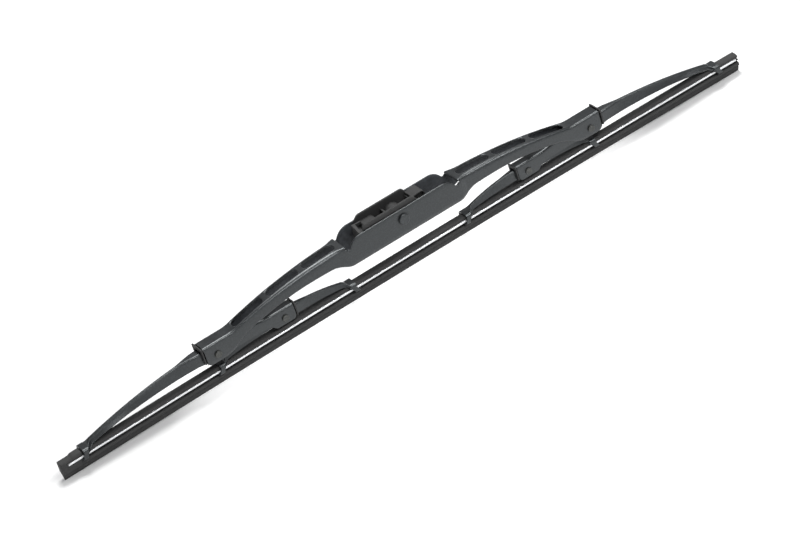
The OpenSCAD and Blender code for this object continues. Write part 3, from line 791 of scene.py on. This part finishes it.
class WiperBladeSettings(bpy.types.PropertyGroup):
    """Sizes and colours of the dressed wiper blade."""

    bridge_sheet: millimetres("Bridge sheet", "Thickness of the bridge's sheet", 1.1, 0.8, 1.3)
    yoke_sheet: millimetres("Yoke sheet", "Thickness of the outer yokes' sheet", 1.0, 0.8, 1.1)
    inner_sheet: millimetres("Inner yoke sheet", "Thickness of the inner yokes' sheet", 0.8, 0.6, 0.9)
    edge_round: millimetres("Edge rounding", "Rounding of the sheet's cut edges", 0.36, 0.05, 0.4)
    paint_roughness: FloatProperty(
        name="Paint roughness", description="Roughness of the powder paint",
        default=0.33, min=0.2, max=0.8, subtype="FACTOR",
    )
    paint_colour: tint("Paint", "Colour of the powder paint", (0.0088, 0.0096, 0.0106))
    rivet_colour: tint("Rivets", "Colour of the rivets", (0.030, 0.029, 0.0245))
    plastic_colour: tint("Plastic", "Colour of the adapter and the liners", (0.006, 0.0074, 0.0092))
    rubber_colour: tint("Rubber", "Colour of the rubber strip", (0.051, 0.054, 0.057))
    rail_colour: tint("Rails", "Colour of the steel rails", (0.93, 0.94, 0.95))
    lamp_power: FloatProperty(
        name="Lamps", description="Factor on the power of every lamp", default=1.0, min=0
    )


# Stage

FOCAL_PIXELS = 3576.17
PICTURE_PIXELS = 800
SENSOR_MM = 36
CAMERA_TURNS = (22.42, 33.0, 18.66)
CAMERA_DISTANCE = 1958.70
CAMERA_TARGET = (-7.86, 0, -31.09)

# Name, place in metres, watts and size of each lamp
LAMPS = (
    ("Overhead", (0.4, 0.45, 1.52), 25.0, (0.75, 0.5)),
    ("Front_strip", (0.44, -0.72, 1.15), 13.5, (1.2, 0.3)),
    ("Low_front", (0.1, -1.6, 0.35), 2.0, (1.8, 0.5)),
)
LAMP_TARGET = Vector((0, 0, -0.02))


def place_camera(scene):
    """Camera from its turn about the vertical, its tilt and its roll, at a distance from its target."""
    side, tilt, roll = (math.radians(a) for a in CAMERA_TURNS)
    right = Vector((math.cos(side), -math.sin(side), 0))
    up = Vector((math.sin(side) * math.sin(tilt), math.cos(side) * math.sin(tilt), math.cos(tilt)))
    back = right.cross(up)
    across = right * math.cos(roll) - up * math.sin(roll)
    above = right * math.sin(roll) + up * math.cos(roll)
    place = Vector(CAMERA_TARGET) * MM + back * CAMERA_DISTANCE * MM
    data = bpy.data.cameras.new("Camera")
    data.lens = FOCAL_PIXELS / PICTURE_PIXELS * SENSOR_MM
    data.sensor_width = SENSOR_MM
    data.clip_start = 0.05
    data.clip_end = 20
    camera = bpy.data.objects.new("Camera", data)
    camera.matrix_world = Matrix([(*row, 0) for row in (across, above, back)] + [(*place, 1)]).transposed()
    scene.collection.objects.link(camera)
    scene.camera = camera


def light_world(scene):
    """World that is brightest near the level of the floor and falls off towards the top."""
    world = bpy.data.worlds.new("Studio")
    world.use_nodes = True
    scene.world = world
    tree = world.node_tree
    tree.nodes.clear()
    coords = tree.nodes.new("ShaderNodeTexCoord")
    parts = tree.nodes.new("ShaderNodeSeparateXYZ")
    plain = tree.nodes.new("ShaderNodeBackground")
    plain.inputs["Color"].default_value = (0.97, 0.985, 1.0, 1)
    out = tree.nodes.new("ShaderNodeOutputWorld")
    tree.links.new(coords.outputs["Generated"], parts.inputs[0])
    fall = map_range(tree, parts.outputs["Z"], 0.08, 0.45, 0.85, 0.25)
    tree.links.new(fall, plain.inputs["Strength"])
    tree.links.new(plain.outputs[0], out.inputs[0])


def lay_floor(scene):
    """White floor just under the strip, lit a little by itself away from the two tips.

    The light of its own is the sum of two: one grows with the distance from the nearer tip, and
    one lies under the middle of the blade. Only rays that the eye sees through get it.
    """
    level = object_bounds()[0][2] - 0.00005
    size = 6.0
    corners = [(-size, -size, level), (size, -size, level), (size, size, level), (-size, size, level)]
    mesh = bpy.data.meshes.new("floor")
    mesh.from_pydata(corners, [], [(0, 1, 2, 3)])
    floor = bpy.data.objects.new("floor", mesh)
    scene.collection.objects.link(floor)
    material = bpy.data.materials.new("pale_floor")
    material.use_nodes = True
    tree = material.node_tree
    nodes, links = tree.nodes, tree.links
    shader = nodes["Principled BSDF"]
    shader.inputs["Base Color"].default_value = (0.75, 0.75, 0.75, 1)
    shader.inputs["Roughness"].default_value = 1.0
    shader.inputs["Specular IOR Level"].default_value = 0.0
    spot = nodes.new("ShaderNodeTexCoord")
    mirror = nodes.new("ShaderNodeVectorMath")
    mirror.operation = "ABSOLUTE"
    links.new(spot.outputs["Object"], mirror.inputs[0])
    away = nodes.new("ShaderNodeVectorMath")
    away.operation = "DISTANCE"
    away.inputs[1].default_value = (0.19, 0.0, -level)
    links.new(mirror.outputs[0], away.inputs[0])
    apart = nodes.new("ShaderNodeSeparateXYZ")
    links.new(mirror.outputs[0], apart.inputs[0])
    # This glow is painted light: it washes out the blade's cast shadow on the floor under the middle and
    # away from the tips, so that shadow shows only near the two tips.
    around = map_range(tree, away.outputs["Value"], 0.02, 0.055, 0.0, 0.1, smooth=True)
    along = map_range(tree, apart.outputs["X"], 0.12, 0.17, 0.42, 0.0, smooth=True)
    beside = map_range(tree, apart.outputs["Y"], 0.018, 0.04, 1.0, 0.0, smooth=True)
    under = sum_node(tree, "MULTIPLY_ADD", along, beside, around)
    lift = sum_node(tree, "MULTIPLY", seen_by_eye(tree), under)
    shader.inputs["Emission Color"].default_value = (1, 1, 1, 1)
    links.new(lift, shader.inputs["Emission Strength"])
    mesh.materials.append(material)
    floor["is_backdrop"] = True


def hang_lamps(scene):
    """Area lamps that look at the blade."""
    for name, spot, watts, (width, height) in LAMPS:
        lamp = bpy.data.lights.new(name, "AREA")
        lamp.energy = watts * settings().lamp_power
        lamp.shape = "RECTANGLE"
        lamp.size = width
        lamp.size_y = height
        obj = bpy.data.objects.new(name, lamp)
        obj.location = spot
        obj.rotation_euler = (LAMP_TARGET - Vector(spot)).to_track_quat("-Z", "Y").to_euler()
        scene.collection.objects.link(obj)


# Operators


class WIPER_OT_stage(bpy.types.Operator):
    """Camera, floor, world and lamps"""

    bl_idname = "wiper.stage"
    bl_label = "Stage"

    def execute(self, context):
        scene = context.scene
        scene.view_settings.view_transform = "Standard"
        place_camera(scene)
        light_world(scene)
        lay_floor(scene)
        hang_lamps(scene)
        return {"FINISHED"}


class WIPER_OT_bridge(bpy.types.Operator):
    """Pressed bridge with its slots, shoulders and opening"""

    bl_idname = "wiper.bridge"
    bl_label = "Bridge"

    def execute(self, context):
        s = settings()
        verts, faces = bridge_skin()
        paint = finish("bridge_paint")
        obj = pressed("bridge_press", verts, faces, paint, s.bridge_sheet, s.edge_round, 1)
        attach(obj, "bridge")
        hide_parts("bridge")
        return {"FINISHED"}


class WIPER_OT_yokes(bpy.types.Operator):
    """Outer and inner yokes with their claws"""

    bl_idname = "wiper.yokes"
    bl_label = "Yokes"

    def execute(self, context):
        s = settings()
        kinds = (
            ("outer_yoke", "yoke", yoke_skin(outer_rows(), s.yoke_sheet, 1.5), s.yoke_sheet),
            ("inner_yoke", "inner_yoke", yoke_skin(inner_rows(), s.inner_sheet, 1.1), s.inner_sheet),
        )
        for node, body, (verts, faces), sheet in kinds:
            for side, v, f in both_ends(verts, faces):
                edge = s.edge_round * 0.85
                obj = pressed(f"{node}_press_{side}", v, f, finish("yoke_paint"), sheet, edge)
                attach(obj, f"{body}_{side}")
                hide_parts(f"{node}_{side}")
        return {"FINISHED"}


class WIPER_OT_rivets(bpy.types.Operator):
    """Centre pin and the four rivets"""

    bl_idname = "wiper.rivets"
    bl_label = "Rivets"

    def execute(self, context):
        # The sizes are half the length between the heads, shank and head diameter, and head height
        rows = [("center_rivet", "bridge", (0, 0, 0), (7.75, 4, 6.6, 1.5))]
        for side, name in ((-1, "left"), (1, "right")):
            outer = (side * RIVET_X, 0, -RIVET_DROP)
            inner = (side * INNER_X, 0, -INNER_DROP)
            rows.append((f"bridge_rivet_{name}", "bridge", outer, (5, 3, 4.2, 1.0)))
            rows.append((f"inner_rivet_{name}", f"yoke_{name}", inner, (3.45, 2.4, 4.1, 0.8)))
        for node, body, middle, sizes in rows:
            verts, faces = turned(rivet_profile(*sizes), middle)
            paint = "pin_paint" if node == "center_rivet" else "rivet_paint"
            obj = new_object(f"{node}_turned", verts, faces, finish(paint), 50)
            outward(obj)
            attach(obj, body)
            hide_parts(node)
        return {"FINISHED"}


SECTION_CAPS = [(k, k + 1, 10 - k, 11 - k) for k in range(5)]
PLATE_CAPS = [(0, 1, 12, 13), (1, 2, 3, 11, 12), (3, 4, 10, 11), (4, 5, 6, 9, 10), (6, 7, 8, 9)]


def liner_section(width, top, low, wall, corner):
    """Channel open below: an outer line with cut corners, and an inner one a wall further in."""
    inner_corner = corner + 0.414 * wall
    right = [(width / 2, low), (width / 2, top - corner), (width / 2 - corner, top)]
    inner = [(width / 2 - corner, top - wall), (width / 2 - wall, top - inner_corner)]
    inner.append((width / 2 - wall, low))
    left = [(-y, z) for y, z in right[::-1]]
    return right + left + [(-y, z) for y, z in inner[::-1]] + inner


def liner_plate(width, top, low, hole_width, hole_top):
    """Flange with rounded upper corners round an opening whose upper corners are cut."""
    half = width / 2
    ears = [(half, low), (half, top - 0.9), (half - 0.25, top - 0.3), (half - 0.9, top)]
    hole = [(hole_width / 2, low), (hole_width / 2, hole_top - 0.6), (hole_width / 2 - 0.6, hole_top)]
    left = [(-y, z) for y, z in ears[::-1]]
    return ears + left + [(-y, z) for y, z in hole] + hole[::-1]


class WIPER_OT_liners(bpy.types.Operator):
    """Plastic liners with their flanges at the yokes' bearings"""

    bl_idname = "wiper.liners"
    bl_label = "Liners"

    def execute(self, context):
        # Ends, flange's place, then width, top, low and wall of the liner, and the flange's width and top
        kinds = (
            ("liner", "bridge", 116.5, 134.25, 133.45, 7.7, -8.55, -16.6, 0.35, 11.0, -6.9),
            ("inner_liner", "yoke", 74.25, 86.0, 74.25, 4.8, -13.65, -20.7, 0.3, 7.9, -12.1),
        )
        for node, body, x0, x1, plate_x, w, top, low, t, plate_w, plate_top in kinds:
            shell = extruded(liner_section(w, top, low, t, 0.6), x0, x1, "x", SECTION_CAPS)
            rim = liner_plate(plate_w, plate_top, low, w - 2 * t + 0.2, top - t + 0.1)
            flange = extruded(rim, plate_x, plate_x + 0.8, "x", PLATE_CAPS)
            verts, faces = gather(shell, flange)
            for side, v, f in both_ends(verts, faces):
                obj = new_object(f"{node}_moulded_{side}", v, f, finish("liner_plastic"), 40)
                outward(obj)
                soften(obj, 0.12)
                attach(obj, "bridge" if body == "bridge" else f"yoke_{side}")
                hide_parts(f"{node}_{side}")
        return {"FINISHED"}


class WIPER_OT_adapter(bpy.types.Operator):
    """Moulded adapter with its hook channel, rests, barrel and release tongue"""

    bl_idname = "wiper.adapter"
    bl_label = "Adapter"

    def execute(self, context):
        wall = (
            [(-24.2, -3.4), (-24.2, 7.8), (-23.7, 8.9), (-22.8, 9.3)]
            + [(8.0, 9.3)]
            + arc(8.0, 6.3, 3.0, 80, 25, 6)
            + [(13.0, 1.6), (13.0, -4.6), (9.6, -8.6), (-8.0, -8.6), (-14.0, -5.2)]
        )
        half = 6.45
        thick = 1.2
        core = half - thick / 2
        far_wall = [(-23.4, -3.4), (-23.4, 6.3), (-20.6, 8.9), (-19.6, 9.3)] + wall[4:]
        prisms = [extruded(wall, -half, thick - half, "y"), extruded(far_wall, half - thick, half, "y")]
        bars = [
            arc(0, 0, 5.2, 0, 352.5, 48),
            [(-20.5, 1.2), (-20.5, 4.6), (-20.0, 5.15), (-13.4, 5.15), (-12.2, 4.7)]
            + [(-11.4, 3.6), (-11.4, 1.2)],
            [(-25.5, -3.4), (-25.5, 2), (0, 2), (0, -2.6), (-14, -2.6)],
            [(-6.3, 0), (-6.3, 4.9), (-5.2, 4.9), (-5.2, 0)],
            [(9.8, -4.4), (9.8, 4.6), (12.6, 4.6), (12.6, -4.4)],
        ]
        prisms += [extruded(b, -core, core, "y") for b in bars]
        post = [(-6.4, -2.8), (-6.4, 5.8), (-0.2, 8.1), (1.4, 8.1), (1.4, -2.8)]
        prisms.append(extruded(post, -27.0, -25.0, "x"))
        latch = [(-25.6, 3.0), (-25.6, 7.95), (-21.2, 7.95), (-21.2, 6.6), (-23.4, 6.2), (-23.4, 3.0)]
        prisms.append(extruded(latch, 0.1, 1.2, "y"))
        tongue = (
            [(10.6, 6.2), (13.4, 6.75), (15.6, 6.95)]
            + arc(16.3, 4.6, 2.4, 80, -30, 10)
            + [(15.2, 2.4), (11.0, 0.6), (11.0, 1.3), (14.9, 3.0)]
            + arc(16.3, 4.6, 1.7, -40, 80, 9)
            + [(15.5, 6.25), (13.4, 6.0), (10.6, 5.4)]
        )
        prisms.append(extruded(tongue, -3.2, 5.4, "y"))
        core_fill = [(11.0, 1.0), (15.0, 2.8), (17.3, 3.6), (18.0, 4.6)]
        core_fill += [(17.4, 5.9), (15.6, 6.5), (13.4, 6.3), (10.6, 5.8)]
        prisms.append(extruded(core_fill, -2.1, 5.2, "y"))
        groups = (("adapter_walls", prisms[:2], 0.45), ("adapter_moulded", prisms[2:], 0.18))
        for name, group, edge in groups:
            verts, faces = gather(*group)
            obj = new_object(name, verts, faces, finish("adapter_plastic"), 40)
            outward(obj)
            soften(obj, edge, 1)
            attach(obj, "adapter")
            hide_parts("adapter")
        return {"FINISHED"}


# Strip and rails

# Name, near and far end, the two bodies, and where the bend between them starts and ends
SPANS = (
    ("tip", 139.0, HALF_BLADE, "yoke", "inner_yoke", 205.0, 139.0),
    ("inner", 28.0, 139.0, "inner_yoke", "yoke", 37.0, 28.0),
    ("middle", 0.0, 28.0, "yoke", "bridge", 28.0, 0.0),
)


def bent_pieces(shape, name, node, material):
    """Six lengths of a soft or springy piece, one for each span on each side."""
    for span, near, far, first, second, start, end in SPANS:
        for side, word in ((-1, "left"), (1, "right")):
            verts, faces = shape(*sorted((side * near, side * far)))
            obj = new_object(f"{name}_{span}_{word}", verts, faces, finish(material), 40)
            outward(obj)
            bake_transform(obj)
            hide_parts(node)


def closed_sweep(x, y, z, mirror_caps):
    """Closed surface of a section carried along x.

    Its ends are capped with faces from side to side where the section is mirrored, or else with one.
    """
    n = y.shape[1]
    pts = np.stack([x[:, None] + 0 * y, y, z], -1).reshape(-1, 3)
    faces = grid_faces(len(x), n, wrap=True).tolist()
    for row in (0, len(x) - 1):
        if mirror_caps:
            pairs = [(i, i + 1, n - 2 - i, n - 1 - i) for i in range(n // 2 - 1)]
            faces += [[row * n + k for k in pair] for pair in pairs]
        else:
            faces.append([row * n + k for k in range(n)])
    return pts, faces


# Right half of the rubber's section, below its top: the flange, rail slot and head, and the rest
HEAD = [
    (2.62, -3.58), (2.8, -3.5), (2.8, -3.12), (2.66, -3.04), (1.35, -3.0), (1.2, -2.9),
    (1.2, -2.0), (1.35, -1.9), (2.68, -1.88), (2.8, -1.76), (2.8, -1.3), (2.74, -0.92),
    (2.56, -0.56), (2.28, -0.27), (1.9, -0.07), (1.2, 0.0),
]
BODY = [
    (0.4, -11.4), (0.42, -10.95), (0.65, -10.6), (1.5, -8.6), (1.62, -8.2), (1.6, -7.8),
    (0.7, -7.7), (0.5, -7.6), (0.5, -7.3), (0.7, -7.2), (2.3, -7.15), (2.62, -7.06),
    (2.8, -6.8), (2.9, -6.3), (2.9, -5.9), (2.84, -5.55), (2.64, -5.25), (2.3, -5.07),
    (1.6, -5.0), (1.4, -4.9), (1.4, -3.72), (1.6, -3.6),
]
HEAD_HEIGHT = 1.9
END_ROUND = 0.25
STOP_X = -TIP_CLAW - CLAW_LENGTH / 2 - 0.4 - 6.6
RAIL_RIGHT = HALF_BLADE - 1.8
RAIL_LEFT = 4.0 - HALF_BLADE


def strip_shape(first, last):
    """Rubber between two places: its section, with the stop block at the left end.

    The section's half is mirrored and carried along the bowed top line. Towards the left end the
    recesses under the rails fill up to the width of the body, and the head rises to the stop lump.
    """
    half = np.array(BODY + HEAD)
    ring = np.concatenate([half, half[::-1] * [-1, 1]])
    edge = HALF_BLADE - END_ROUND * (1 - np.sin(np.radians([0, 45, 90])))
    x = np.concatenate(
        [
            [first, last],
            np.linspace(first, last, max(3, int((last - first) / 2.5)))[1:-1],
            -edge,
            edge,
            [RAIL_LEFT + 0.1, RAIL_LEFT - 0.15],
            STOP_X + np.array([-0.2, 0.3, 0.8, 1.3, 1.8, 6.0, 6.3, 6.6, 6.8, 7.6]),
        ]
    )
    x = np.unique(np.round(x[(x >= first) & (x <= last)], 4))
    lump = np.minimum(ease(-0.2, 1.8, x - STOP_X), ramp(6.8, 6.2, x - STOP_X))[:, None]
    block = ramp(7.6, 6.8, x - STOP_X)[:, None]
    over = np.maximum(0, np.abs(x) - HALF_BLADE + END_ROUND) / END_ROUND
    inset = 0.2 * (1 - np.sqrt(np.maximum(0, 1 - over**2)))[:, None]
    y = ring[:, 0][None, :] + 0 * lump
    z = ring[:, 1][None, :] + 0 * lump
    head = (ring[:, 1] > -HEAD_HEIGHT)[None, :]
    sign = np.sign(y)
    y = y + head * lump * 0.3 * sign
    z = z + head * lump * 0.6 * (1 + z / HEAD_HEIGHT)
    recess = ((ring[:, 1] < -3.55) & (ring[:, 1] > -8.4))[None, :]
    filled = np.maximum(np.abs(y), np.where(ring[:, 1] < -7.1, 2.2, 2.85))
    y = mix(y, sign * filled, recess * block)
    rail_slot = ((ring[:, 1] < -1.85) & (ring[:, 1] > -3.2))[None, :]
    y = mix(y, sign * 2.8, rail_slot * ramp(RAIL_LEFT + 0.1, RAIL_LEFT - 0.15, x)[:, None])
    y = y - inset * sign
    return closed_sweep(x, y, z + strip_top(x)[:, None], True)


def rail_shape(side):
    """Flat rail with rounded corners in one side slot, as a function of the two places it spans."""

    def shape(first, last):
        first, last = max(first, RAIL_LEFT), min(last, RAIL_RIGHT)
        x = np.concatenate([[first, last], np.linspace(first, last, max(3, int((last - first) / 3)))])
        near_ends = [v for v in (RAIL_LEFT + 0.2, RAIL_RIGHT - 0.2) if first < v < last]
        x = np.unique(np.round(np.concatenate([x, near_ends]), 4))
        a = np.radians(np.arange(4)[:, None] * 90 + np.linspace(0, 90, 4)[None, :])
        corner = np.array([(1, 1), (-1, 1), (-1, -1), (1, -1)])
        ring_y = (corner[:, :1] * 0.92 + 0.18 * np.cos(a)).ravel()
        ring_z = (corner[:, 1:] * 0.36 + 0.18 * np.sin(a)).ravel()
        small = np.where((x < RAIL_LEFT + 0.01) | (x > RAIL_RIGHT - 0.01), 0.85, 1.0)[:, None]
        y = side * 2.4 + ring_y[None, :] * small
        z = strip_top(x)[:, None] - 2.45 + ring_z[None, :] * small
        return closed_sweep(x, y, z, False)

    return shape


class WIPER_OT_strip(bpy.types.Operator):
    """Rubber strip with its head, groove, body, hinge and lip"""

    bl_idname = "wiper.strip"
    bl_label = "Rubber strip"

    def execute(self, context):
        bent_pieces(strip_shape, "rubber", "wiper_rubber", "strip_rubber")
        return {"FINISHED"}


class WIPER_OT_rails(bpy.types.Operator):
    """Steel rails in the strip's side slots"""

    bl_idname = "wiper.rails"
    bl_label = "Rails"

    def execute(self, context):
        for side, node in ((-1, "rail_front"), (1, "rail_rear")):
            bent_pieces(rail_shape(side), node, node, "rail_steel")
        return {"FINISHED"}


OPERATORS = (
    WIPER_OT_stage,
    WIPER_OT_bridge,
    WIPER_OT_yokes,
    WIPER_OT_rivets,
    WIPER_OT_liners,
    WIPER_OT_adapter,
    WIPER_OT_strip,
    WIPER_OT_rails,
)


class WIPER_PT_panel(bpy.types.Panel):
    """Pieces of the wiper blade"""

    bl_idname = "WIPER_PT_panel"
    bl_label = "Wiper blade"
    bl_space_type = "VIEW_3D"
    bl_region_type = "UI"
    bl_category = "Wiper blade"

    def draw(self, context):
        for operator in OPERATORS:
            self.layout.operator(operator.bl_idname)
        for name in WiperBladeSettings.__annotations__:
            self.layout.prop(settings(), name)


CLASSES = (WiperBladeSettings, *OPERATORS, WIPER_PT_panel)


def register():
    """Makes the settings, operators and panel known to Blender."""
    for cls in CLASSES:
        bpy.utils.register_class(cls)
    bpy.types.Scene.wiper_blade = PointerProperty(type=WiperBladeSettings)


def unregister():
    """Takes them out again."""
    del bpy.types.Scene.wiper_blade
    for cls in reversed(CLASSES):
        bpy.utils.unregister_class(cls)


def main():
    """Builds every piece in order."""
    register()
    for operator in OPERATORS:
        group, name = operator.bl_idname.split(".")
        getattr(getattr(bpy.ops, group), name)()


if __name__ == "__main__":
    main()
